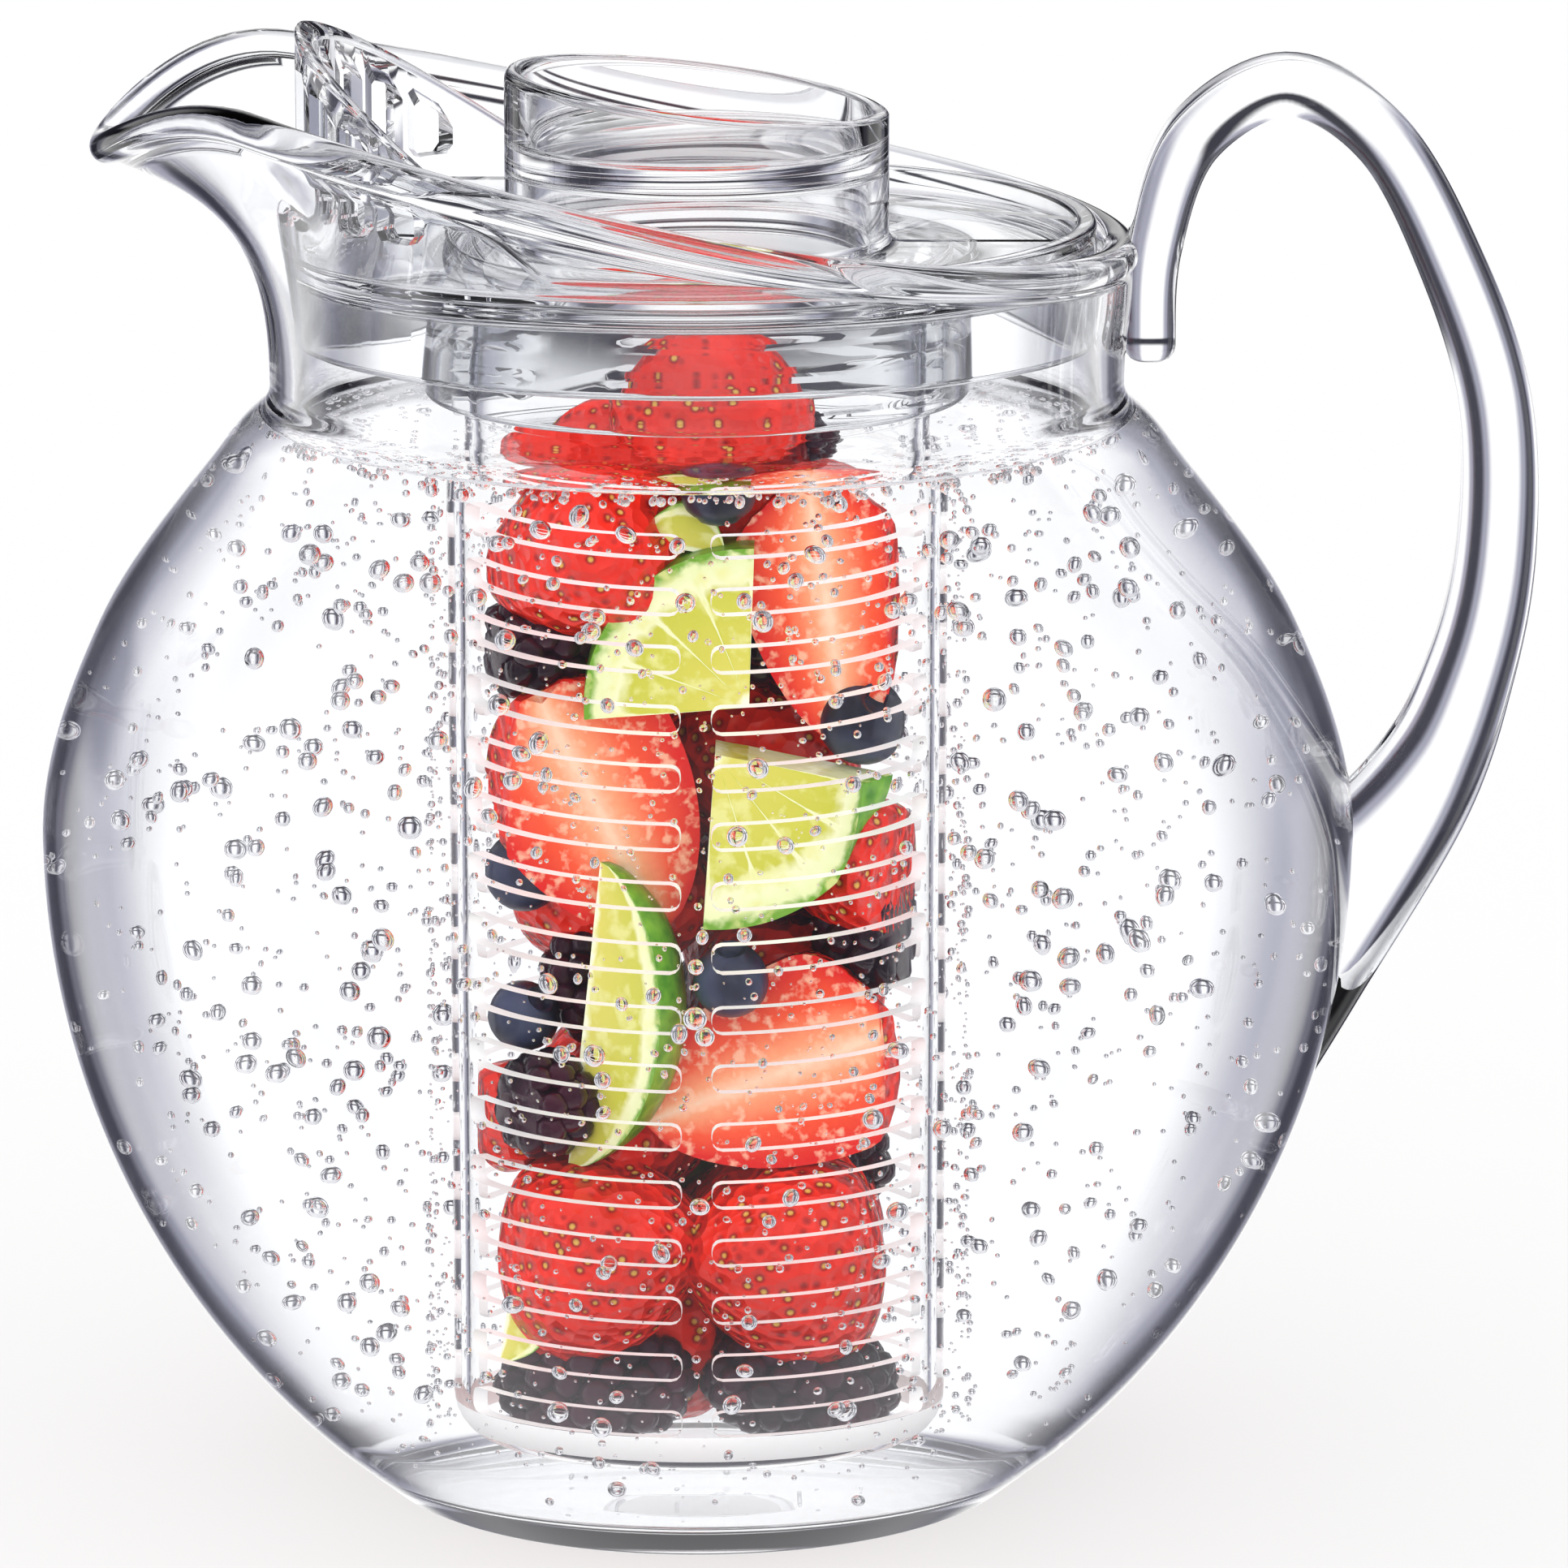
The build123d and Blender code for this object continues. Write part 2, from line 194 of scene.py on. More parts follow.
def ring_grid(rings, start_pole, end_pole):
    """Points and faces of a tube of equal rings, closed by a pole point at each end that has one."""
    count = len(rings[0])
    verts = [point for ring in rings for point in ring]
    faces = []
    for k in range(len(rings) - 1):
        for i in range(count):
            j = (i + 1) % count
            faces.append((k * count + i, k * count + j, (k + 1) * count + j, (k + 1) * count + i))
    for point, base in ((start_pole, 0), (end_pole, (len(rings) - 1) * count)):
        if point is None:
            continue
        verts.append(point)
        pole = len(verts) - 1
        for i in range(count):
            faces.append((pole, base + i, base + (i + 1) % count))
    return verts, faces


def prism_faces(base, count):
    """Faces of a prism whose two outlines of equal count follow each other from a base index."""
    near = range(base, base + count)
    far = range(base + 2 * count - 1, base + count - 1, -1)
    faces = [tuple(near), tuple(far)]
    for i in range(count):
        j = (i + 1) % count
        faces.append((base + i, base + j, base + count + j, base + count + i))
    return faces


def arc(centre, radius, start, end, count):
    """Points along an arc in a section plane, angles in degrees."""
    turns = [math.radians(start + (end - start) * k / count) for k in range(count + 1)]
    return [(centre[0] + radius * math.cos(t), centre[1] + radius * math.sin(t)) for t in turns]


def hermite(points, tangents, count):
    """Smooth curve through section points with given end directions."""
    last = len(points) - 1
    slopes = []
    for k, point in enumerate(points):
        if k in (0, last):
            other = points[1] if k == 0 else points[last - 1]
            reach = math.dist(point, other)
            slopes.append([reach * c for c in tangents[0 if k == 0 else 1]])
        else:
            slopes.append([(b - a) / 2 for a, b in zip(points[k - 1], points[k + 1])])
    out = []
    for k in range(last):
        for i in range(count):
            t = i / count
            from_point = 2 * t ** 3 - 3 * t ** 2 + 1
            from_slope = t ** 3 - 2 * t ** 2 + t
            to_point = 3 * t ** 2 - 2 * t ** 3
            to_slope = t ** 3 - t ** 2
            out.append(tuple(
                from_point * a + from_slope * da + to_point * b + to_slope * db
                for a, da, b, db in zip(points[k], slopes[k], points[k + 1], slopes[k + 1])
            ))
    out.append(tuple(points[last]))
    return out


def bezier(poles, count):
    """Points along a curve from the first of four poles to the last."""
    out = []
    for i in range(count + 1):
        t = i / count
        u = 1 - t
        out.append(tuple(
            u ** 3 * p + 3 * u * u * t * q + 3 * u * t * t * r + t ** 3 * s
            for p, q, r, s in zip(*poles)
        ))
    return out


def rounded(corners, count):
    """Section outline from (r, z, corner radius) with its corners rounded."""
    out = []
    total = len(corners)
    for k, (r, z, radius) in enumerate(corners):
        if radius <= 0 or k in (0, total - 1):
            out.append((r, z))
            continue
        here = Vector((r, z))
        before = (Vector(corners[k - 1][:2]) - here).normalized()
        after = (Vector(corners[k + 1][:2]) - here).normalized()
        half = before.angle(after) / 2
        setback = radius / math.tan(half)
        start = here + before * setback
        end = here + after * setback
        centre = here + (before + after).normalized() * radius / math.sin(half)
        for i in range(count + 1):
            mix = start.lerp(end, i / count) - centre
            spot = centre + mix.normalized() * radius
            out.append((spot.x, spot.y))
    return out


def lathe(section, segments):
    """Rings of a turned section and the pole points where the section starts or ends on the axis."""
    on_axis = 1e-6
    turns = [FULL_TURN * i / segments for i in range(segments)]
    body = [point for point in section if point[0] > on_axis]
    rings = [[(r * math.cos(t), r * math.sin(t), z) for t in turns] for r, z in body]
    start = (0, 0, section[0][1]) if section[0][0] <= on_axis else None
    end = (0, 0, section[-1][1]) if section[-1][0] <= on_axis else None
    return rings, start, end


# Jug

def bowl_section(inset, floor_z, edge_r):
    """Half section of the bowl from the axis up to the neck, set in from the outer face."""
    belly_steps, corner_end, corner_steps, shoulder_steps = 36, 4, 6, 14
    throat_ease = 3.0
    arc_x = BOWL_R - BELLY_ARC_R
    arc_r = BELLY_ARC_R - inset
    base_r = arc_x + math.sqrt(arc_r ** 2 - (BOWL_Z - floor_z) ** 2)
    low = math.degrees(math.asin((BOWL_Z - floor_z) / arc_r))
    belly = arc((arc_x, BOWL_Z), arc_r, -low, 0, belly_steps)
    corners = [(0, floor_z, 0), (base_r, floor_z, edge_r), (*belly[corner_end], 0)]
    base = rounded(corners, corner_steps)[:-1]
    shoulder_turn = math.atan2(BOWL_R - THROAT_R, THROAT_Z - BOWL_Z)
    throat_turn = math.atan2(SHOULDER_R - NECK_R, NECK_Z + throat_ease - SHOULDER_Z)
    top = hermite(
        [
            (BOWL_R - inset, BOWL_Z),
            (SHOULDER_R - inset * math.cos(shoulder_turn), SHOULDER_Z - inset * math.sin(shoulder_turn)),
            (THROAT_R - inset * math.cos(throat_turn), THROAT_Z - inset * math.sin(throat_turn)),
            (NECK_R - inset, NECK_Z),
        ],
        ((0, 1), (0, 1)),
        shoulder_steps,
    )
    return base + belly[corner_end:-1] + top


OUTER_SECTION = bowl_section(0, 0, BASE_EDGE_R)


def bowl_radius(z):
    """Outer radius of the jug's turned part at a height."""
    for (r0, z0), (r1, z1) in zip(OUTER_SECTION, OUTER_SECTION[1:]):
        if z0 <= z <= z1 and z1 > z0:
            return r0 + (r1 - r0) * (z - z0) / (z1 - z0)
    return NECK_R


def rim_section(turn):
    """Wall section at a plan angle, outside up over the bead and down inside."""
    wall_steps, bead_steps = 18, 18
    if math.cos(turn) >= 0:
        reach = RIM_R
    else:
        reach = SPOUT_REACH * RIM_R / math.hypot(RIM_R * math.cos(turn), SPOUT_REACH * math.sin(turn))
    along = reach * math.cos(turn)
    top = RIM_TOP - RIM_SLOPE * along + RIM_BOW * along ** 2
    droop = max(0.0, (-along - LIP_START) / (SPOUT_REACH - LIP_START)) ** 2
    lean = max(0.0, (-along - LEAN_START) / (SPOUT_REACH - LEAN_START)) ** LEAN_POWER
    height = top - BEAD_RISE - LIP_DROOP * droop
    angle = math.radians(90 - LEAN * lean)
    way = (math.cos(angle), math.sin(angle))
    middle = NECK_R - WALL / 2
    rise = height - NECK_Z
    pull = LIP_HOLD * math.hypot(rise, reach - middle)

    def side(half):
        root = (reach + half * way[1], height - half * way[0])
        poles = [
            (middle + half, NECK_Z),
            (middle + half, NECK_Z + NECK_HOLD * rise),
            (root[0] - pull * way[0], root[1] - pull * way[1]),
            root,
        ]
        return bezier(poles, wall_steps)

    bead_offset = BEAD_RISE - BEAD_R
    centre = (reach + bead_offset * way[0], height + bead_offset * way[1])
    gap = math.degrees(math.asin(WALL / 2 / BEAD_R))
    heading = math.degrees(angle)
    bead = arc(centre, BEAD_R, heading - 180 + gap, heading + 180 - gap, bead_steps)
    return side(WALL / 2)[1:-1] + bead + list(reversed(side(-WALL / 2)))[1:-1]


def make_jug():
    """Bowl, neck, rim and spout in one wall, with the handle joined on."""
    inner = bowl_section(WALL, BASE_THICK, BASE_INNER_R)
    columns = []
    for i in range(JUG_SEGMENTS):
        turn = FULL_TURN * i / JUG_SEGMENTS
        section = OUTER_SECTION[1:] + rim_section(turn) + list(reversed(inner[1:]))
        columns.append([(r * math.cos(turn), r * math.sin(turn), z) for r, z in section])
    rings = [list(ring) for ring in zip(*columns)]
    verts, faces = ring_grid(rings, (0, 0, 0), (0, 0, BASE_THICK))
    jug = new_object("jug", verts, faces, 50)
    carve(jug, make_handle(), "UNION")
    tidy_normals(jug, 40)
    return jug


def bar_outline(thick, width):
    """Bar section with round corners, the same number of points for every size."""
    corner_steps = 9
    radius = BAR_ROUND * min(thick, width)
    out = []
    for across, along, start in ((1, 1, 0), (-1, 1, 90), (-1, -1, 180), (1, -1, 270)):
        centre = (across * (thick / 2 - radius), along * (width / 2 - radius))
        out += arc(centre, radius, start, start + 90, corner_steps)
    return out


def make_handle():
    """Rounded bar along the hooked centre line; its foot ends inside the bowl's wall."""
    station_steps = 12
    line = hermite([(x, z) for x, z, thick in HANDLE_STATIONS], ((0, 1), FOOT_DIRECTION), station_steps)
    bar = hermite([(thick, 0) for x, z, thick in HANDLE_STATIONS], ((0, 0), (1, 0)), station_steps)
    steps = [(0, past, share) for past, share in HOOK_END]
    steps += [(k, 0, 1.0) for k in range(len(line))]
    rings = []
    for k, past, share in steps:
        x, z = line[k]
        ahead = line[min(k + 1, len(line) - 1)]
        behind = line[max(k - 1, 0)]
        way = Vector((ahead[0] - behind[0], 0, ahead[1] - behind[1])).normalized()
        out = Vector((-way.z, 0, way.x))
        ring = []
        for u, v in bar_outline(bar[k][0] * share, HANDLE_WIDTH * share):
            spot = Vector((x, 0, z)) - way * past + out * u + Vector((0, v, 0))
            if spot.z < FOOT_Z:
                keep = bowl_radius(spot.z) - WALL / 2
                if math.hypot(spot.x, spot.y) < keep:
                    spot.x = math.sqrt(keep ** 2 - spot.y ** 2)
            ring.append(tuple(spot))
        rings.append(ring)
    caps = [tuple(sum(c) / len(ring) for c in zip(*ring)) for ring in (rings[0], rings[-1])]
    verts, faces = ring_grid(rings, *caps)
    return new_object("handle_bar", verts, faces, 60)


# Lid

def fence_height(x):
    """Height of the strainer's slanted top edge."""
    return FENCE_TOP - math.tan(math.radians(FENCE_SLOPE)) * (x + LID_R)


def make_lid():
    """Turned plug with its collar and finger cup, tops slanted, then ribs and windows."""
    corner_steps, margin = 4, 0.1
    bore = TURRET_R - TURRET_WALL
    skirt_in = LID_R - LID_WALL
    skirt_low = LID_FLOOR_Z - LID_SKIRT
    collar_in = COLLAR_R - COLLAR_WALL
    collar_low = LID_FLOOR_Z - COLLAR_DROP
    cup_top = CUP_FLOOR_Z + CUP_FLOOR
    section = rounded([
        (0, CUP_FLOOR_Z, 0), (bore, CUP_FLOOR_Z, LID_CORNER_R), (bore, LID_FLOOR_Z, COLLAR_EDGE_R),
        (collar_in, LID_FLOOR_Z, COLLAR_EDGE_R), (collar_in, collar_low, COLLAR_EDGE_R),
        (COLLAR_R, collar_low, COLLAR_EDGE_R), (COLLAR_R, LID_FLOOR_Z, LID_CORNER_R),
        (skirt_in, LID_FLOOR_Z, LID_CORNER_R), (skirt_in, skirt_low, LID_EDGE_R),
        (LID_R, skirt_low, LID_EDGE_R), (LID_R, KERB_TOP, LID_EDGE_R), (skirt_in, KERB_TOP, LID_EDGE_R),
        (skirt_in, LID_FLOOR_TOP, KERB_FOOT_R), (TURRET_R, LID_FLOOR_TOP, TURRET_FOOT_R),
        (TURRET_R, TURRET_TOP, TURRET_EDGE_R), (bore, TURRET_TOP, TURRET_EDGE_R),
        (bore, cup_top, TURRET_FOOT_R), (0, cup_top, 0),
    ], corner_steps)
    rings, start, end = lathe(section, LID_SEGMENTS)
    slope = math.tan(math.radians(TURRET_SLOPE))
    slant_low = cup_top + 3
    fence_low = LID_FLOOR_TOP + 1.5
    shaped = []
    for ring in rings:
        moved = []
        for x, y, z in ring:
            r = math.hypot(x, y)
            if r < TURRET_R + margin and z > slant_low:
                z -= slope * x * (z - slant_low) / (TURRET_TOP - slant_low)
            if r > skirt_in - margin and z > fence_low:
                z = max(z, fence_height(x) - (KERB_TOP - z))
            moved.append((x, y, z))
        shaped.append(moved)
    verts, faces = ring_grid(shaped, start, end)
    lid = new_object("lid", verts, faces, 40)
    carve(lid, make_ribs(), "UNION")
    carve(lid, make_windows(), "DIFFERENCE")
    tidy_normals(lid, 40)
    return lid


def make_ribs():
    """Two radial ribs on the lid's floor, sunk a little into what they join."""
    sink = 0.6
    half = RIB_THICK / 2
    low = LID_FLOOR_TOP - sink
    wall_x = LID_R - LID_WALL + sink
    turret_x = TURRET_R - sink
    spout_top = LID_FLOOR_TOP + SPOUT_RIB_RISE
    spout_rib = [(-wall_x, low), (-wall_x, spout_top), (-turret_x, spout_top), (-turret_x, low)]
    back_rib = [
        (wall_x, low), (wall_x, KERB_TOP - BACK_RIB_DROP),
        (turret_x, LID_FLOOR_TOP + BACK_RIB_RISE), (turret_x, low),
    ]
    verts = []
    faces = []
    for outline in (spout_rib, back_rib):
        faces += prism_faces(len(verts), len(outline))
        verts += [(x, y, z) for y in (-half, half) for x, z in outline]
    return new_object("ribs", verts, faces)


def make_windows():
    """Cutters for the fence's windows, with tops that follow its slant."""
    mid_r = LID_R - LID_WALL / 2
    far = mid_r * math.tan(math.radians(WINDOW_TURN / 2))
    near = far - WINDOW_CORNER
    low = KERB_TOP + FENCE_SILL
    drop = FENCE_RAIL / math.cos(math.radians(FENCE_SLOPE))
    outline = [
        (-far, False, WINDOW_CORNER), (-near, False, 0), (near, False, 0), (far, False, WINDOW_CORNER),
        (far, True, WINDOW_CORNER), (near, True, 0), (-near, True, 0), (-far, True, WINDOW_CORNER),
    ]
    verts = []
    faces = []
    for k in range(WINDOW_COUNT):
        turn = math.pi + math.radians(WINDOW_PITCH * (k - (WINDOW_COUNT - 1) / 2))
        out = Vector((math.cos(turn), math.sin(turn), 0))
        side = Vector((-math.sin(turn), math.cos(turn), 0))
        faces += prism_faces(len(verts), len(outline))
        for reach in (mid_r - LID_WALL, mid_r + LID_WALL):
            for across, at_top, inset in outline:
                spot = out * reach + side * across
                z = fence_height(spot.x) - drop - inset if at_top else low + inset
                verts.append((spot.x, spot.y, z))
    return new_object("window_cutters", verts, faces)


# Infuser

def tube_radius(z):
    """Outer radius of the tapered tube at a height."""
    return TUBE_LOW_R + (TUBE_TOP_R - TUBE_LOW_R) * (z - TUBE_LOW_Z) / (TUBE_NECK_Z - TUBE_LOW_Z)


def make_tube():
    """Closed tapered tube with a threaded neck and rows of slots."""
    corner_steps, neck_rows, margin = 8, 44, 0.01
    inner_low = TUBE_LOW_R - TUBE_WALL
    inner_top = TUBE_TOP_R - TUBE_WALL
    inner_z = TUBE_LOW_Z + TUBE_WALL
    thread_top, neck_top = TUBE_TOP_Z - 2, TUBE_TOP_Z - 1
    outside = rounded([
        (0, TUBE_LOW_Z, 0), (TUBE_LOW_R, TUBE_LOW_Z, TUBE_EDGE_R), (TUBE_TOP_R, TUBE_NECK_Z, TUBE_LIP_R),
        (TUBE_NECK_R, TUBE_NECK_Z, TUBE_STEP_R), (TUBE_NECK_R, thread_top, 0),
    ], corner_steps)[:-1]
    neck_low = outside[-1][1]
    neck = [
        (TUBE_NECK_R, neck_low + (neck_top - neck_low) * k / neck_rows) for k in range(1, neck_rows + 1)
    ]
    inside = rounded([
        (*neck[-1], 0), (TUBE_NECK_R, TUBE_TOP_Z, TUBE_LIP_R), (inner_top, TUBE_TOP_Z, TUBE_LIP_R),
        (inner_low, inner_z, TUBE_EDGE_R - TUBE_WALL), (0, inner_z, 0),
    ], corner_steps)[1:]
    rings, start, end = lathe(outside + neck + inside, TUBE_SEGMENTS)
    threaded = []
    for ring in rings:
        moved = []
        for x, y, z in ring:
            r = math.hypot(x, y)
            if abs(r - TUBE_NECK_R) < margin and neck_low < z < thread_top:
                swell = 1 + THREAD_HEIGHT * thread(math.atan2(y, x), z) / r
                x, y = x * swell, y * swell
            moved.append((x, y, z))
        threaded.append(moved)
    verts, faces = ring_grid(threaded, start, end)
    tube = new_object("infuser", verts, faces, 40)
    carve(tube, make_slots(), "DIFFERENCE")
    tidy_normals(tube, 35)
    return tube


def thread(turn, z):
    """Height share of an interrupted coarse thread at a turn and height."""
    level = (z - TUBE_NECK_Z - THREAD_START) / THREAD_PITCH - turn / FULL_TURN
    off = abs(level - round(level)) * THREAD_PITCH
    ridge = max(0.0, 1 - (off / THREAD_WIDTH) ** 2)
    gap = abs(((turn / FULL_TURN) * THREAD_RUNS) % 1 - 0.5) * 2
    run = min(1.0, max(0.0, (THREAD_RUN_SHARE - gap) / THREAD_RUN_TAPER))
    from_low = max(0.0, (z - TUBE_NECK_Z - THREAD_MARGIN) / THREAD_TAPER)
    from_top = max(0.0, (TUBE_TOP_Z - THREAD_MARGIN - z) / THREAD_TAPER)
    return ridge * run * min(1.0, from_low, from_top)


def slot_stations(near, far, radius):
    """Turn and half height along a slot, with its corners rounded."""
    corner_angles = (0.5, 1.0)
    half = SLOT_HEIGHT / 2
    end_turn = SLOT_END_R / radius * math.copysign(1, far - near)
    corners = [
        (end_turn * (1 - math.cos(angle)), half - SLOT_END_R * (1 - math.sin(angle)))
        for angle in corner_angles
    ]
    length = far - near - 2 * end_turn
    stations = [(near, half - SLOT_END_R)]
    stations += [(near + shift, height) for shift, height in corners]
    stations += [(near + end_turn + length * i / SLOT_BENDS, half) for i in range(SLOT_BENDS + 1)]
    stations += [(far - shift, height) for shift, height in reversed(corners)]
    return stations + [(far, half - SLOT_END_R)]


def make_slots():
    """Cutters for all slots: bent bars with rounded ends, four to a row."""
    verts = []
    faces = []
    for row in range(SLOT_ROWS):
        middle = SLOT_LOW_Z + row * SLOT_PITCH
        radius = tube_radius(middle)
        inner, outer = radius - SLOT_REACH_IN, radius + SLOT_REACH_OUT
        for centre in (-90.0, 90.0):
            for hand in (-1, 1):
                near = math.radians(centre + hand * SLOT_NEAR)
                far = math.radians(centre + hand * SLOT_FAR)
                rings = []
                for turn, half in slot_stations(near, far, radius):
                    corners = ((inner, -half), (outer, -half), (outer, half), (inner, half))
                    rings.append([(r * math.cos(turn), r * math.sin(turn), middle + z) for r, z in corners])
                base = len(verts)
                points, quads = ring_grid(rings, None, None)
                verts += points
                faces += [tuple(base + i for i in quad) for quad in quads]
                last = len(verts) - 4
                faces += [(base, base + 1, base + 2, base + 3), (last + 3, last + 2, last + 1, last)]
    return new_object("slot_cutters", verts, faces)


def paint_slot_edge_highlight(tube, made):
    """Gives the slots' own edges, between the two faces of the wall, their material, whose white colour is
    a painted highlight.
    """
    skin_depth = 0.2
    tube.data.materials.append(made)
    top_z = SLOT_LOW_Z + SLOT_ROWS * SLOT_PITCH
    for polygon in tube.data.polygons:
        spot = polygon.center / MM
        depth = tube_radius(spot.z) - math.hypot(spot.x, spot.y)
        if SLOT_LOW_Z - SLOT_PITCH < spot.z < top_z and skin_depth < depth < TUBE_WALL - skin_depth:
            polygon.material_index = 1


# Drink

def make_water():
    """The drink, which fills the jug to its level and climbs a little up the wall."""
    inner = bowl_section(WALL - WATER_LAP, BASE_THICK - WATER_LAP, BASE_INNER_R)
    section = [point for point in inner if point[1] < WATER_Z - WATER_EASE]
    edge_r = bowl_radius(WATER_Z + MENISCUS) - WALL + WATER_LAP
    section += [(edge_r - reach, WATER_Z + MENISCUS * rise) for reach, rise in MENISCUS_STEPS]
    section += [(edge_r * share, WATER_Z) for share in (0.85, 0.6, 0.3, 0)]
    verts, faces = ring_grid(*lathe(section, WATER_SEGMENTS))
    return new_object("water", verts, faces, 60)


# Fruit

SKIN, FLESH = 0, 1             # material slots of a fruit


def put(obj, place, turns):
    """Turns and places a fruit, and presses it flat where it meets the tube's wall or floor."""
    move = Matrix.Translation(Vector(place) * MM)
    for axis, turn in reversed(tuple(zip("XYZ", turns))):
        move = move @ Matrix.Rotation(math.radians(turn), 4, axis)
    for vertex in obj.data.vertices:
        spot = (move @ vertex.co) / MM
        out = math.hypot(spot.x, spot.y)
        if out > FRUIT_REACH:
            spot.x *= FRUIT_REACH / out
            spot.y *= FRUIT_REACH / out
        spot.z = min(max(spot.z, FRUIT_LOW), FRUIT_HIGH)
        vertex.co = spot * MM
    tidy_normals(obj, 50)
    return obj


def fruit_object(name, verts, faces, core, kinds, smooth_angle):
    """Fruit mesh with each face's kind, and how far each point lies on the way from core to skin."""
    obj = new_object(name, verts, faces, smooth_angle)
    for polygon, kind in zip(obj.data.polygons, kinds):
        polygon.material_index = kind
    layer = obj.data.attributes.new("core", "FLOAT", "POINT")
    layer.data.foreach_set("value", core)
    return obj


def sector(name, profile, start, end, around, cut):
    """Turned fruit between two plan angles; cut adds flat faces from the core to the skin."""
    steps = 8
    rows = len(profile)
    columns = around + 1 if cut else around
    verts = []
    faces = []
    for i in range(columns):
        turn = math.radians(start + (end - start) * i / around)
        verts += [(r * math.cos(turn), r * math.sin(turn), z) for r, z in profile]
    for i in range(around):
        j = (i + 1) % columns
        for k in range(rows - 1):
            faces.append((i * rows + k, j * rows + k, j * rows + k + 1, i * rows + k + 1))
    core = [1.0] * len(verts)
    kinds = [SKIN] * len(faces)
    for turn in ((math.radians(start), math.radians(end)) if cut else ()):
        base = len(verts)
        for r, z in profile:
            for k in range(steps + 1):
                share = k / steps
                verts.append((share * r * math.cos(turn), share * r * math.sin(turn), z))
                core.append(share)
        for i in range(rows - 1):
            for k in range(steps):
                a = base + i * (steps + 1) + k
                faces.append((a, a + 1, a + steps + 2, a + steps + 1))
                kinds.append(FLESH)
    return fruit_object(name, verts, faces, core, kinds, 50)


def wheel(name, radius, start, end):
    """Piece of a round slice, its two flat sides and its radial cuts all flesh, with pale spokes."""
    around, steps, spoke = 48, 10, 12
    verts = []
    core = []
    faces = []
    kinds = []
    for i in range(around + 1):
        turn = math.radians(start + (end - start) * i / around)
        for z in (-SLICE_THICK / 2, SLICE_THICK / 2):
            for k in range(steps + 1):
                share = k / steps
                verts.append((share * radius * math.cos(turn), share * radius * math.sin(turn), z))
                core.append(PITH if i % spoke == 0 and 0.1 < share < PITH else share)
    row = 2 * (steps + 1)
    for i in range(around):
        for base in (0, steps + 1):
            for k in range(steps):
                a = i * row + base + k
                faces.append((a, a + 1, a + row + 1, a + row))
                kinds.append(FLESH)
        low, high = i * row + steps, i * row + 2 * steps + 1
        faces.append((low, low + row, high + row, high))
        kinds.append(SKIN)
    for base in (0, around * row):
        for k in range(steps):
            faces.append((base + k, base + k + 1, base + steps + 2 + k, base + steps + 1 + k))
            kinds.append(FLESH)
    return fruit_object(name, verts, faces, core, kinds, 30)


def strawberry_profile(radius, length):
    """Half section from the tip at the bottom to the crown."""
    steps, widest, crown = 24, 0.72, 0.46
    out = []
    for k in range(steps + 1):
        t = k / steps
        if t < widest:
            r = (1 - (1 - t / widest) ** 2) ** 0.62
        else:
            r = 1 - 0.75 * ((t - widest) / (1 - widest)) ** 2.4
        out.append((max(radius * r, POLE_R), length * (t - 0.5)))
    out.append((POLE_R, length * crown))
    return out


def lime_profile(radius, length):
    """Half section of a lime, with its ends drawn out to points."""
    steps, tip_start, tip_draw = 24, 0.9, 0.24
    out = []
    for k in range(steps + 1):
        t = math.pi * (k / steps - 0.5)
        tip = tip_draw * length * max(0.0, abs(math.sin(t)) - tip_start) * math.copysign(1, t)
        out.append((max(radius * math.cos(t), POLE_R), length / 2 * math.sin(t) + tip))
    return out


def blueberry_profile(radius):
    """Round berry with a small crown ring at the top."""
    steps, closed, squash = 16, 0.86, 0.92
    out = []
    for k in range(steps + 1):
        t = math.pi * (k / steps * closed - 0.5)
        out.append((max(radius * math.cos(t), POLE_R), squash * radius * math.sin(t)))
    lip_r, lip_z = out[-1]
    for share, rise in ((0.95, 0.09), (0.75, 0.05), (0.55, -0.12)):
        out.append((lip_r * share, lip_z + rise * radius))
    out.append((POLE_R, lip_z - 0.16 * radius))
    return out


def bead_shape(subdivisions):
    """Points and faces of a round bead of radius 1."""
    bm = bmesh.new()
    bmesh.ops.create_icosphere(bm, subdivisions=subdivisions, radius=1.0)
    points = [vertex.co.copy() for vertex in bm.verts]
    faces = [tuple(vertex.index for vertex in face.verts) for face in bm.faces]
    bm.free()
    return points, faces


def beads(name, places):
    """One mesh of many beads from (subdivisions, placing matrix in millimetres) pairs."""
    shapes = {level: bead_shape(level) for level in (COARSE_BEAD, FINE_BEAD)}
    verts = []
    faces = []
    for level, place in places:
        points, loops = shapes[level]
        base = len(verts)
        verts += [tuple(place @ point * MM) for point in points]
        faces += [tuple(base + i for i in loop) for loop in loops]
    mesh = bpy.data.meshes.new(name)
    mesh.from_pydata(verts, [], faces)
    mesh.shade_smooth()
    obj = bpy.data.objects.new(name, mesh)
    bpy.context.scene.collection.objects.link(obj)
    return obj


def bramble(name, radius, length, chance):
    """Cluster of drupelets laid round an egg-shaped core."""
    count = int(10 + 0.30 * radius * length)
    core_r = radius - DRUPELET_SINK
    core_half = length / 2 - DRUPELET_SINK
    places = []
    for k in range(count):
        z = 1 - 2 * (k + 0.5) / count
        turn = k * math.pi * (3 - math.sqrt(5))
        r = math.sqrt(1 - z * z)
        size = DRUPELET_R + DRUPELET_SPREAD * chance.random()
        spot = Vector((r * math.cos(turn) * core_r, r * math.sin(turn) * core_r, z * core_half))
        places.append((COARSE_BEAD, Matrix.Translation(spot) @ Matrix.Scale(size, 4)))
    return beads(name, places)


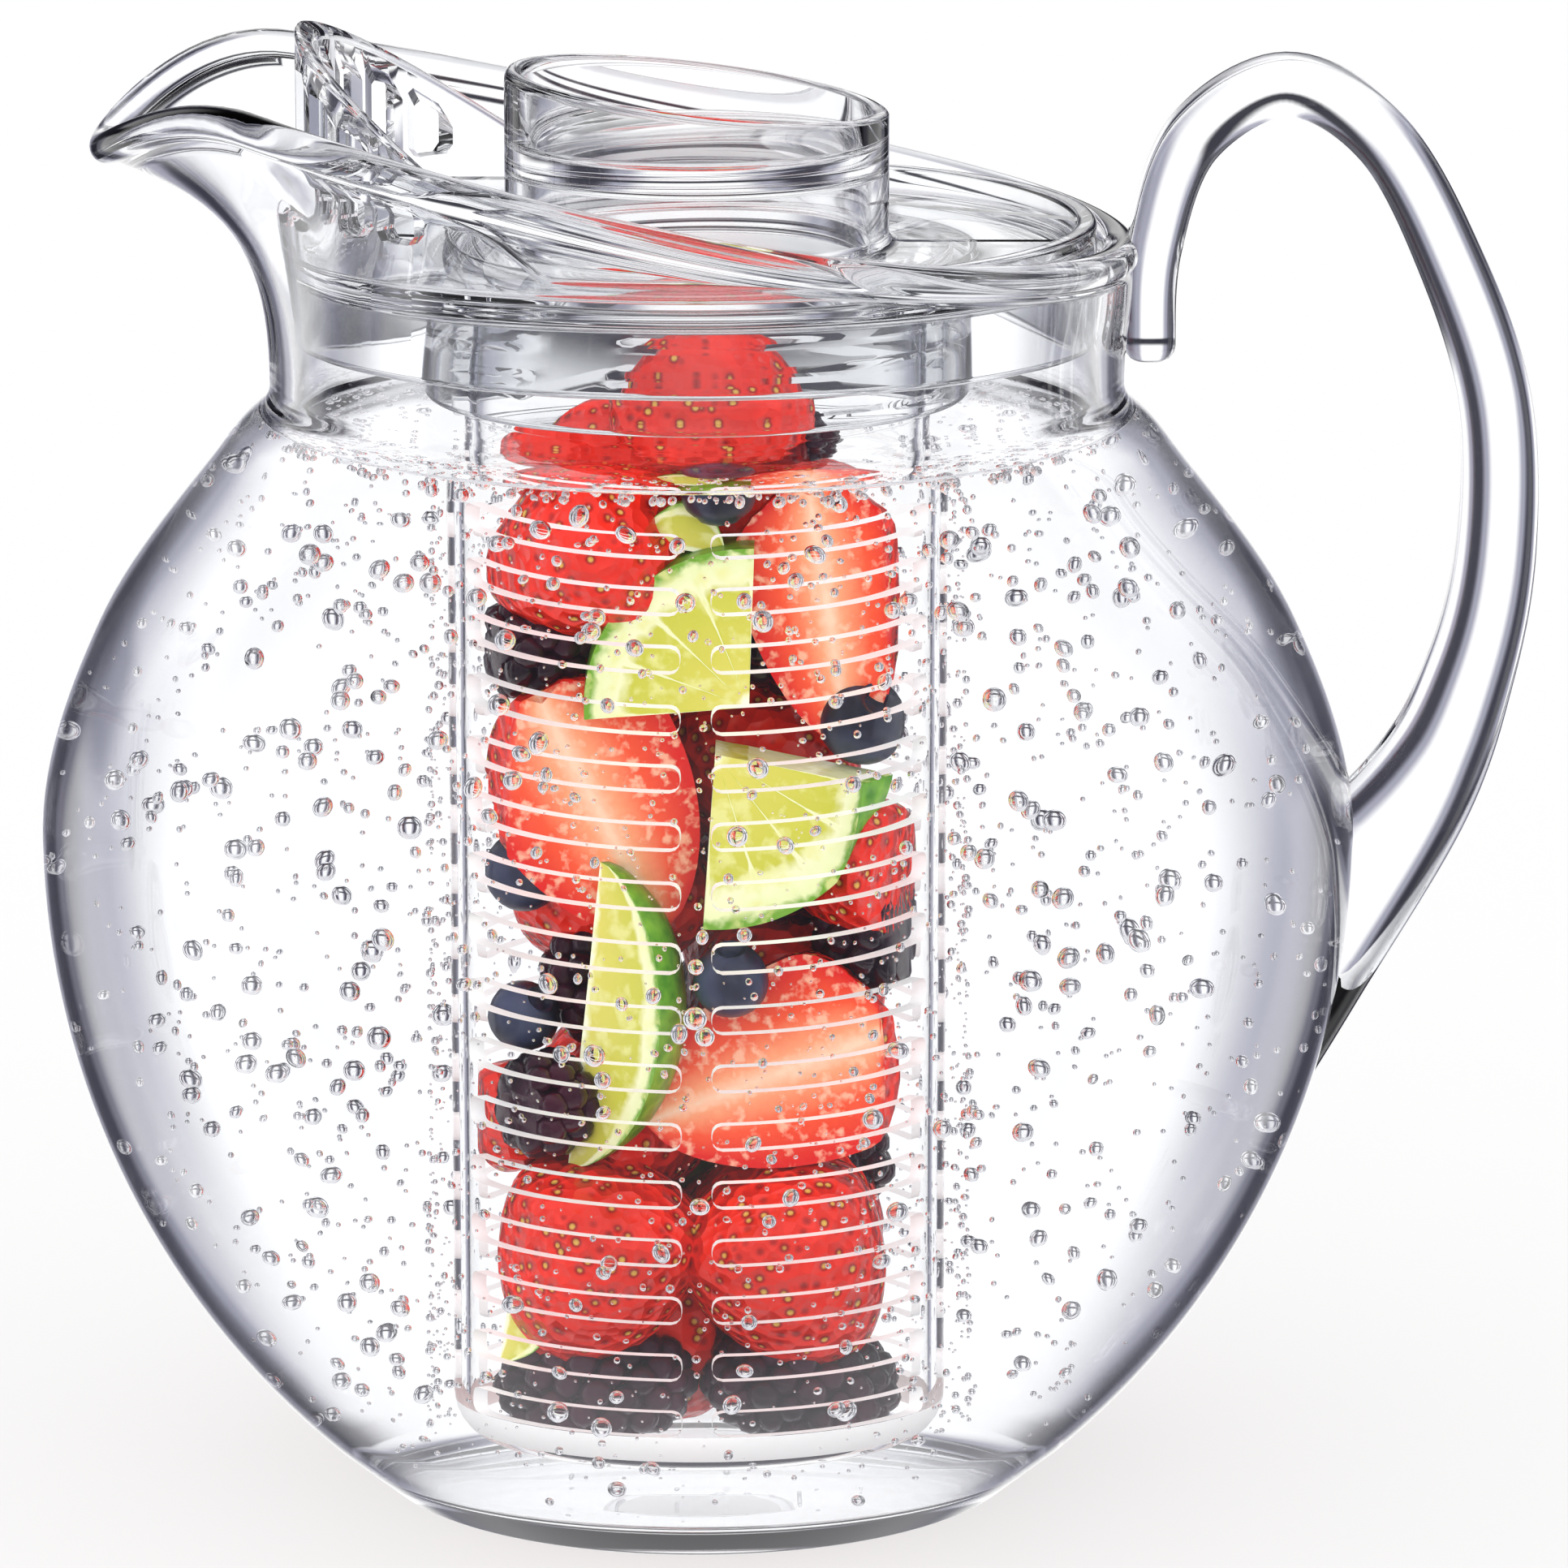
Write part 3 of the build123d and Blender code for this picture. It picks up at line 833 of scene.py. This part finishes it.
def round_tube(turn, reach, z):
    """Place at a turn from the front, a distance from the tube's axis and a height."""
    spot = Vector((0, -reach, 0))
    spot.rotate(Matrix.Rotation(math.radians(turn), 3, "Z"))
    return spot.x, spot.y, z


def make_fruit(skins):
    """Fills the tube, front as photographed and the same kinds of fruit behind."""
    chance = random.Random(4)
    fruit = []

    def add(kind, obj, place, turns):
        for made in skins[kind]:
            obj.data.materials.append(made)
        fruit.append(put(obj, place, turns))

    def whole(place, size, turns):
        shape = sector("strawberry", strawberry_profile(*size), 0, 360, 36, False)
        add("strawberry", shape, place, turns)

    def half(place, size, turns):
        shape = sector("strawberry_half", strawberry_profile(*size), 0, 180, 20, True)
        add("strawberry", shape, place, turns)

    def lime(place, size, turns, angle):
        shape = sector("lime_wedge", lime_profile(*size), 0, angle, 14, True)
        add("lime", shape, place, turns)

    def lime_slice(place, radius, start, end):
        add("lime", wheel("lime_slice", radius, start, end), place, (90, 0, 0))

    def blue(place, radius, turns):
        shape = sector("blueberry", blueberry_profile(radius), 0, 360, 28, False)
        add("blueberry", shape, place, turns)

    def black(place, size, turns):
        add("bramble", bramble("bramble", *size, chance), place, turns)

    # Top layer, at the drink's level
    whole((1, -4, 161), (14.5, 30), (78, 0, 12))
    whole((-18, -3, 151), (8.5, 20), (100, 0, -50))
    blue((3, -19, 147.6), 5.4, (60, 0, 0))
    lime((-2, -18, 138), (7, 11), (0, -80, 0), 90)
    # Second layer
    whole((-15.5, -10.5, 135.5), (12.8, 29), (25, 62, 0))
    half((17.5, -15, 128.5), (11.5, 37), (4, -8, 0))
    lime_slice((7, -17, 117), 22, 88, 184)
    black((-21, -9, 122.5), (7.6, 16), (30, 70, 0))
    blue((22, -12, 113), 6.0, (40, 30, 0))
    # Third layer
    half((-13, -15, 101), (14.5, 38), (8, -26, 0))
    lime_slice((2.5, -18, 111), 24, -94, -12)
    blue((-23, -6, 91), 5.3, (70, 0, 20))
    blue((4.5, -20, 80), 5.0, (20, 0, 0))
    blue((-23, -9, 73), 4.8, (50, 0, 40))
    # Fourth layer
    lime((-15, -15, 74), (13.5, 40), (0, 8, -42), 90)
    half((9.5, -15.5, 66), (14, 36), (5, 68, 0))
    whole((-24, -4, 57.5), (7, 16), (20, 15, 0))
    # Bottom layers
    whole((-14, -10, 38.5), (13.8, 31), (12, 18, 0))
    whole((12.5, -10, 38), (13.8, 31), (10, -24, 0))
    lime((-25, -12, 34), (7, 16), (0, 10, -30), 100)
    black((-13.5, -8, 22), (9.2, 26), (8, 82, 0))
    black((13.5, -8, 22), (8.6, 26), (0, 96, 8))
    # Middle of the tube and small pieces, seen in the gaps between the pieces in front
    for k in range(9):
        low = 26 + 15.5 * k
        hand = 1 if k % 2 else -1
        whole((10 * hand, 2, low), (13, 28), (20 * hand, 75, 30 * k))
        black((-12 * hand, -2, low + 4), (8.5, 18), (40 * hand, 70, 25 * k))
    blue((12, -9, 95), 5.4, (40, 0, 10))
    black((23, -9, 84), (7.5, 16), (20, 60, 0))
    black((-20, -14, 62), (7.0, 15), (50, 40, 0))
    whole((21, -10, 92), (9, 20), (30, 70, 0))
    # Behind, where the photograph shows none of it
    for turn, z in ((150, 34), (215, 58), (140, 80), (220, 104), (145, 128), (210, 146)):
        kind = chance.choice((whole, half, lime))
        place = round_tube(turn, 14, z)
        tilt = (chance.uniform(-20, 20), chance.uniform(-40, 40), turn)
        if kind is lime:
            lime(place, (13, 30), tilt, 100)
        else:
            kind(place, (13, 32), tilt)
    for turn, z, radius in ((180, 22, 9), (175, 66, 7.5), (190, 118, 7.5), (105, 50, 6.5), (255, 88, 6.5)):
        black(round_tube(turn, 19, z), (radius, 2.2 * radius), (chance.uniform(0, 90), 60, turn))
    return fruit


# Fizz

def make_bubbles():
    """Most bubbles loose in the drink, some on the tube and some at the surface."""
    tube_gap, wall_gap, surface_gap, cling_gap = 2.2, 1.4, 3, 0.3
    surface_near = COLLAR_R + 4
    surface_far = bowl_radius(WATER_Z - 2) - WALL - 3
    chance = random.Random(11)
    places = []

    def draw_size(least, spread, power):
        return least + spread * chance.random() ** power

    def bubble(r, z, size):
        turn = FULL_TURN * chance.random()
        shape = Matrix.Translation(Vector((r * math.cos(turn), r * math.sin(turn), z)))
        shape = shape @ Matrix.Rotation(FULL_TURN * chance.random(), 4, "Y")
        shape = shape @ Matrix.Diagonal((size, size, size * chance.uniform(0.78, 1.0), 1))
        places.append((FINE_BEAD if size > LARGE_BUBBLE else COARSE_BEAD, shape))

    for _ in range(BUBBLE_COUNT):
        z = BUBBLE_LOW + (WATER_Z - surface_gap - BUBBLE_LOW) * chance.random() ** 0.75
        size = draw_size(0.32, 1.35, 3.2)
        near = TUBE_NECK_R + tube_gap + size
        far = bowl_radius(z) - WALL - wall_gap - size
        bubble(math.sqrt(near ** 2 + (far ** 2 - near ** 2) * chance.random()), z, size)
    for _ in range(TUBE_BUBBLE_COUNT):
        size = draw_size(0.17, 0.5, 3)
        bubble(TUBE_NECK_R + cling_gap + size, TUBE_LOW_Z + TUBE_BUBBLE_RISE * chance.random(), size)
    for _ in range(SURFACE_BUBBLE_COUNT):
        size = draw_size(0.25, 0.7, 2)
        spread = surface_far - size - surface_near
        bubble(surface_near + spread * chance.random() ** 0.6, WATER_Z - 1.2 * size - cling_gap, size)
    return beads("bubbles", places)


# Materials

class Graph:
    """Nodes of a material or world. A value is a number, a colour or another node's socket."""

    def __init__(self, owner):
        owner.use_nodes = True
        self.nodes = owner.node_tree.nodes
        self.links = owner.node_tree.links

    def feed(self, socket, value):
        if isinstance(value, bpy.types.NodeSocket):
            self.links.new(value, socket)
        elif isinstance(value, tuple):
            socket.default_value = (*value, 1)
        else:
            socket.default_value = value

    def fill(self, node, values):
        for name, value in values.items():
            self.feed(node.inputs[name], value)

    def add(self, kind, values=None, **settings):
        node = self.nodes.new(kind)
        for name, setting in settings.items():
            setattr(node, name, setting)
        self.fill(node, values or {})
        return node

    def calc(self, operation, *values):
        node = self.add("ShaderNodeMath", operation=operation)
        for socket, value in zip(node.inputs, values):
            self.feed(socket, value)
        return node.outputs[0]

    def fade(self, value, start, end):
        """Goes from 0 to 1 as the value goes from start to end, softly at both."""
        limits = {"Value": value, "From Min": start, "From Max": end}
        return self.add("ShaderNodeMapRange", limits, interpolation_type="SMOOTHSTEP").outputs[0]

    def blend(self, factor, first, second, blend_type="MIX"):
        values = {"Factor": factor, "A": first, "B": second}
        node = self.add("ShaderNodeMix", values, data_type="RGBA", blend_type=blend_type)
        return node.outputs["Result"]

    def ramp(self, value, stops):
        """Colour over a value, from (place, colour) stops."""
        node = self.add("ShaderNodeValToRGB", {"Fac": value})
        band = node.color_ramp
        while len(band.elements) < len(stops):
            band.elements.new(0.5)
        for element, (place, colour) in zip(band.elements, stops):
            element.position = place
            element.color = (*colour, 1)
        return node.outputs["Color"]

    def place(self, kind):
        return self.add("ShaderNodeTexCoord").outputs[kind]

    def noise(self, scale, detail):
        values = {"Vector": self.place("Object"), "Scale": scale, "Detail": detail}
        return self.add("ShaderNodeTexNoise", values).outputs["Fac"]

    def bump(self, height, strength, distance):
        values = {"Strength": strength, "Distance": distance, "Height": height}
        return self.add("ShaderNodeBump", values).outputs["Normal"]


def material(name, values):
    """Material with the shader's sockets set, its graph and its shader."""
    made = bpy.data.materials.new(name)
    graph = Graph(made)
    shader = graph.nodes["Principled BSDF"]
    graph.fill(shader, values)
    return made, graph, shader


def clear(name, colour, ior):
    """Polished clear material. Fizz is air in the drink, so its index is below 1."""
    return material(name, {"Base Color": colour, "Transmission Weight": 1.0, "IOR": ior, "Roughness": 0.0})


def clear_plastic(name, colour, ior):
    """Clear moulded plastic with faint flow ripples in its surface."""
    made, graph, shader = clear(name, colour, ior)
    graph.feed(shader.inputs["Normal"], graph.bump(graph.noise(22.0, 2.0), 0.02, 0.002))
    return made


def slot_edge_highlight():
    """Edges of the slots in white, letting little light through and slightly matt: a painted highlight, so
    they show as pale outlines.
    """
    # White colour with little transmission is a painted highlight on the slot edges
    values = {"Base Color": (1, 1, 1), "Roughness": 0.45, "Transmission Weight": 0.15}
    return material("slot_edge_highlight", values)[0]


def strawberry_skin():
    """Red skin with a pale seed in each dimple, and painted shade: a dark red ring round each seed where
    its dimple lies.
    """
    made, graph, shader = material("strawberry_skin", {"Roughness": 0.22})
    cells = graph.add("ShaderNodeTexVoronoi", {"Vector": graph.place("Object"), "Scale": 430.0})
    away = cells.outputs["Distance"]
    # Seed colour, then a dark red ring of painted dimple shade round each seed, then the skin's own red
    seed_colour_and_dimple_shade = graph.ramp(away, (
        (0.0, (0.80, 0.52, 0.10)), (0.15, (0.72, 0.36, 0.06)),
        (0.23, (0.34, 0.002, 0.001)), (0.42, (0.86, 0.020, 0.006)),
    ))
    tone = graph.ramp(graph.noise(70.0, 2.0), ((0.35, (0.75, 0.75, 0.75)), (0.7, (1.0, 1.0, 1.0))))
    colour = graph.blend(1.0, seed_colour_and_dimple_shade, tone, "MULTIPLY")
    graph.fill(shader, {"Base Color": colour, "Normal": graph.bump(away, 1.0, 0.0011)})
    return made


def flesh(name, stops, fibre, fibre_colour, roughness):
    """Cut face of a fruit: colours from the core out to the skin, with mottled fibres."""
    wander, fibre_share = 0.22, 0.7
    made, graph, shader = material(name, {"Roughness": roughness})
    core = graph.add("ShaderNodeAttribute", attribute_name="core").outputs["Fac"]
    grain = graph.noise(fibre, 3.0)
    depth = graph.calc("SUBTRACT", graph.calc("MULTIPLY_ADD", grain, wander, core), wander / 2)
    streak = graph.ramp(grain, ((0.52, (0, 0, 0)), (0.66, (1, 1, 1))))
    share = graph.calc("MULTIPLY", streak, fibre_share)
    colour = graph.blend(share, graph.ramp(depth, stops), fibre_colour)
    graph.fill(shader, {"Base Color": colour, "Normal": graph.bump(grain, 0.35, 0.0004)})
    return made


def skin(name, low, high, scale, roughness, bump_size):
    """Fruit skin in two tones with a fine grain."""
    made, graph, shader = material(name, {"Roughness": roughness})
    grain = graph.noise(scale, 4.0)
    tones = graph.ramp(grain, ((0.35, low), (0.68, high)))
    graph.fill(shader, {"Base Color": tones, "Normal": graph.bump(grain, 0.4, bump_size)})
    return made


def fruit_skins():
    """Materials of each kind of fruit, its skin first and then its flesh."""
    red = strawberry_skin()
    pink = flesh("strawberry_flesh", (
        (0.0, (0.95, 0.60, 0.42)), (0.16, (0.94, 0.34, 0.17)),
        (0.5, (0.90, 0.085, 0.025)), (0.92, (0.72, 0.006, 0.003)),
    ), 560.0, (0.98, 0.56, 0.38), 0.25)
    green = skin("lime_rind", (0.07, 0.27, 0.012), (0.20, 0.46, 0.03), 420.0, 0.3, 0.0004)
    pulp = flesh("lime_flesh", (
        (0.03, (0.92, 0.92, 0.66)), (0.10, (0.68, 0.61, 0.11)), (0.72, (0.56, 0.55, 0.06)),
        (0.80, (0.84, 0.84, 0.52)), (0.92, (0.76, 0.80, 0.42)), (0.97, (0.16, 0.36, 0.03)),
    ), 330.0, (0.78, 0.76, 0.30), 0.18)
    blue = skin("blueberry_skin", (0.008, 0.010, 0.030), (0.045, 0.055, 0.115), 150.0, 0.35, 0.0002)
    purple = skin("bramble_skin", (0.012, 0.002, 0.010), (0.060, 0.006, 0.022), 90.0, 0.14, 0.0002)
    return {
        "strawberry": (red, pink),
        "lime": (green, pulp),
        "blueberry": (blue, blue),
        "bramble": (purple,),
    }


def dress(obj, made, body, slot, *nodes_replaced):
    """Material and body of a clear piece, which lets soft light through to fruit and floor. The slot is not
    used.
    """
    obj.visible_diffuse = False
    obj.data.materials.clear()
    obj.data.materials.append(made)
    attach(obj, body)
    if nodes_replaced:
        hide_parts(*nodes_replaced)


# Stage

def make_world():
    """White studio. What the clear pieces mirror and bend has eight white windows with grey gaps,
    as a photographer's cards give, so that their edges show on white."""
    world = bpy.data.worlds.new("studio")
    bpy.context.scene.world = world
    graph = Graph(world)
    x, y, z = graph.add("ShaderNodeSeparateXYZ", {"Vector": graph.place("Generated")}).outputs
    azimuth = graph.calc("ARCTAN2", y, x)
    wave = graph.calc("COSINE", graph.calc("MULTIPLY", azimuth, STUDIO_WINDOWS))
    strip = graph.calc("MULTIPLY", graph.fade(z, -0.05, 0.03), graph.fade(z, 0.17, 0.09))
    layers = (
        (graph.fade(wave, 0.60, -0.25), GAP_GREY),
        (graph.fade(wave, -0.35, -0.90), GAP_CORE),
        (graph.calc("MULTIPLY", strip, graph.fade(y, 0.55, 0.75)), STRIP_DARK),
        (graph.fade(z, 0.50, 0.80), CEILING_DARK),
        (graph.fade(z, -0.50, -0.72), TABLE_WHITE),
        (graph.calc("MULTIPLY", graph.fade(y, -0.05, -0.35), ROOM_SHARE), ROOM_GREY),
    )
    cards = STUDIO_WHITE
    for share, colour in layers:
        cards = graph.blend(share, cards, colour)
    key = KEY_LIGHT
    for direction, strength in reversed(tuple(zip((x, y, z), KEY_FROM))):
        key = graph.calc("MULTIPLY_ADD", direction, strength, key)
    soft = graph.add("ShaderNodeCombineColor")
    for socket in soft.inputs:
        graph.feed(socket, key)
    path = graph.add("ShaderNodeLightPath").outputs
    is_soft = graph.calc("GREATER_THAN", path["Diffuse Depth"], 0.5)
    is_clear = graph.calc("MAXIMUM", path["Is Glossy Ray"], path["Is Transmission Ray"])
    colour = graph.blend(is_clear, (1, 1, 1), cards)
    colour = graph.blend(is_soft, colour, soft.outputs[0])
    graph.fill(graph.nodes["Background"], {"Color": colour, "Strength": 1.0})


def make_floor():
    """Pale floor that takes the shadow and isn't seen through or mirrored by the clear pieces."""
    corners = ((-1, -1), (1, -1), (1, 1), (-1, 1))
    verts = [(x * FLOOR_REACH, y * FLOOR_REACH, -FLOOR_DROP) for x, y in corners]
    floor = new_object("floor", verts, [(0, 1, 2, 3)])
    values = {"Base Color": FLOOR_GREY, "Roughness": 0.9, "Specular IOR Level": 0.0}
    floor.data.materials.append(material("pale_floor", values)[0])
    floor.visible_transmission = False
    floor.visible_glossy = False


def make_camera():
    """Camera before the jug and a little above it, as in the photograph."""
    rise = math.radians(CAMERA_RISE)
    data = bpy.data.cameras.new("camera")
    camera = bpy.data.objects.new("camera", data)
    bpy.context.scene.collection.objects.link(camera)
    way = Vector((0, -math.cos(rise), math.sin(rise)))
    camera.location = (CAMERA_AIM + way * CAMERA_DISTANCE) * MM
    camera.rotation_euler = (math.pi / 2 - rise, 0, 0)
    data.sensor_fit = "AUTO"
    data.angle = 2 * math.atan(FRAME_WIDTH / 2 / CAMERA_DISTANCE)
    data.clip_start = 0.05
    bpy.context.scene.camera = camera


def main():
    scene = bpy.context.scene
    scene.view_settings.view_transform = "Standard"
    scene.cycles.max_bounces = 32
    scene.cycles.transmission_bounces = 32
    scene.cycles.glossy_bounces = 8
    jug_plastic = clear_plastic("jug_acrylic", (0.985, 0.99, 1.0), PLASTIC_IOR)
    lid_plastic = clear_plastic("lid_acrylic", (0.98, 0.985, 0.99), PLASTIC_IOR)
    tube_plastic = clear_plastic("infuser_acrylic", (0.99, 0.99, 0.99), TUBE_IOR)
    dress(make_jug(), jug_plastic, "jug", "jug_acrylic", "jug_body", "jug_handle")
    lid_nodes = ("lid_plate", "strainer_fence", "lid_turret", "infuser_collar")
    dress(make_lid(), lid_plastic, "lid", "lid_acrylic", *lid_nodes)
    tube = make_tube()
    dress(tube, tube_plastic, "infuser", "infuser_acrylic", "infuser_tube")
    paint_slot_edge_highlight(tube, slot_edge_highlight())
    water = clear("sparkling_water", (1, 1, 1), WATER_IOR)[0]
    dress(make_water(), water, "jug", "jug_acrylic")
    fizz = clear("fizz", (1, 1, 1), FIZZ_IOR)[0]
    dress(make_bubbles(), fizz, "jug", "jug_acrylic")
    for fruit in make_fruit(fruit_skins()):
        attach(fruit, "infuser")
    make_world()
    make_floor()
    make_camera()


main()
